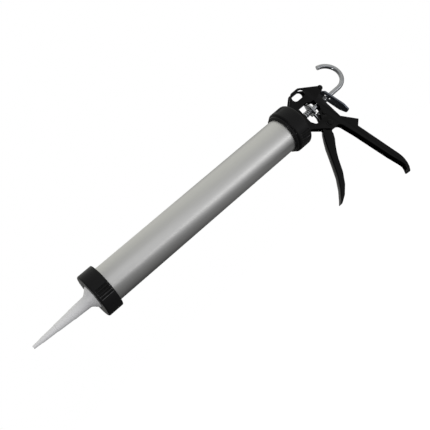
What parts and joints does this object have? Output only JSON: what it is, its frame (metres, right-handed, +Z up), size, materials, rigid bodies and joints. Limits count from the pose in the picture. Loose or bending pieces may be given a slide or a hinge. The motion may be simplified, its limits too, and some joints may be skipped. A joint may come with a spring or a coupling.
{
  "type": "caulking gun",
  "caption": "Hand caulking gun with a long aluminium barrel, screwed end caps, a tapered nozzle, a hooked push rod, a lever trigger and a thumb release.",
  "frame": {"origin": "centre of the palm face, on the rear web of the handle", "axes": "+X forward along the barrel towards the nozzle, +Y to the gun's left side, +Z up from the handle to the barrel"},
  "size_m": [0.6029, 0.067, 0.2133],
  "materials": {
    "aluminium": "satin anodised",
    "black_plastic": "moulded, satin",
    "clear_plastic": "translucent natural",
    "black_paint": "gloss powder coat",
    "plated_steel": "bright zinc plate",
    "zinc_steel": "dull blue zinc",
    "white_plastic": "natural nylon",
    "seal_rubber": "soft gasket"
  },
  "bodies": {
    "frame": {"frame_body": "black_paint", "flange_disc": "plated_steel", "hub_spacer": "black_plastic", "flange_rivet_1": "plated_steel", "flange_rivet_2": "plated_steel", "flange_rivet_3": "plated_steel", "flange_rivet_4": "plated_steel", "trigger_pivot": "plated_steel", "stop_rivet": "plated_steel", "catch_pin": "plated_steel", "return_spring": "plated_steel", "catch_spring": "plated_steel"},
    "rear_cap": {"rear_cap": "black_plastic"},
    "barrel": {"barrel_tube": "aluminium", "nozzle_seal": "seal_rubber"},
    "nozzle": {"nozzle": "clear_plastic"},
    "front_cap": {"front_cap": "black_plastic"},
    "trigger": {"trigger": "black_paint", "nose_pin": "plated_steel", "nose_bush": "plated_steel"},
    "drive_plate": {"drive_plate": "plated_steel"},
    "piston": {"piston_rear_washer": "plated_steel", "piston_cup": "white_plastic", "piston_front_washer": "plated_steel", "piston_nut": "plated_steel"},
    "rod": {"push_rod": "plated_steel"},
    "catch": {"release_catch": "zinc_steel"}
  },
  "joints": [
    {"name": "trigger_pull", "type": "hinge", "parent": "frame", "child": "trigger", "pos_m": [0.03882, 0, 0.06328], "axis": [0, 1, 0], "range_deg": [0, 38], "stiffness_Nm_per_rad": 0.6, "springref_deg": -34.38},
    {"name": "plate_slide", "type": "slide", "parent": "frame", "child": "drive_plate", "axis": [1, 0, 0], "range_m": [0, 0.0124], "deforming": ["return_spring"]},
    {"name": "rod_slide", "type": "slide", "parent": "frame", "child": "piston", "axis": [-1, 0, 0], "range_m": [0, 0.345]},
    {"name": "rod_turn", "type": "hinge", "parent": "piston", "child": "rod", "pos_m": [0, 0, 0.09488], "axis": [1, 0, 0], "continuous": true},
    {"name": "catch_tilt", "type": "hinge", "parent": "frame", "child": "catch", "pos_m": [0.01112, 0, 0.11218], "axis": [0, -1, 0], "range_deg": [0, 8], "stiffness_Nm_per_rad": 0.1, "springref_deg": -17.19, "deforming": ["catch_spring"]},
    {"name": "rear_cap_turn", "type": "hinge", "parent": "frame", "child": "rear_cap", "pos_m": [0.09232, 0, 0.09488], "axis": [-1, 0, 0], "range_deg": [0, 1080]},
    {"name": "barrel_slide", "type": "slide", "parent": "frame", "child": "barrel", "axis": [1, 0, 0], "range_m": [0, 0.0076]},
    {"name": "nozzle_slide", "type": "slide", "parent": "barrel", "child": "nozzle", "axis": [1, 0, 0], "range_m": [0, 0.0051]},
    {"name": "front_cap_turn", "type": "hinge", "parent": "nozzle", "child": "front_cap", "pos_m": [0.45232, 0, 0.09488], "axis": [1, 0, 0], "range_deg": [0, 720]}
  ],
  "couplings": [
    {"joint": "plate_slide", "follows": "trigger_pull", "m_per_rad": 0.0185},
    {"joint": "barrel_slide", "follows": "rear_cap_turn", "m_per_rad": 0.00039789},
    {"joint": "nozzle_slide", "follows": "front_cap_turn", "m_per_rad": 0.00039789}
  ]
}
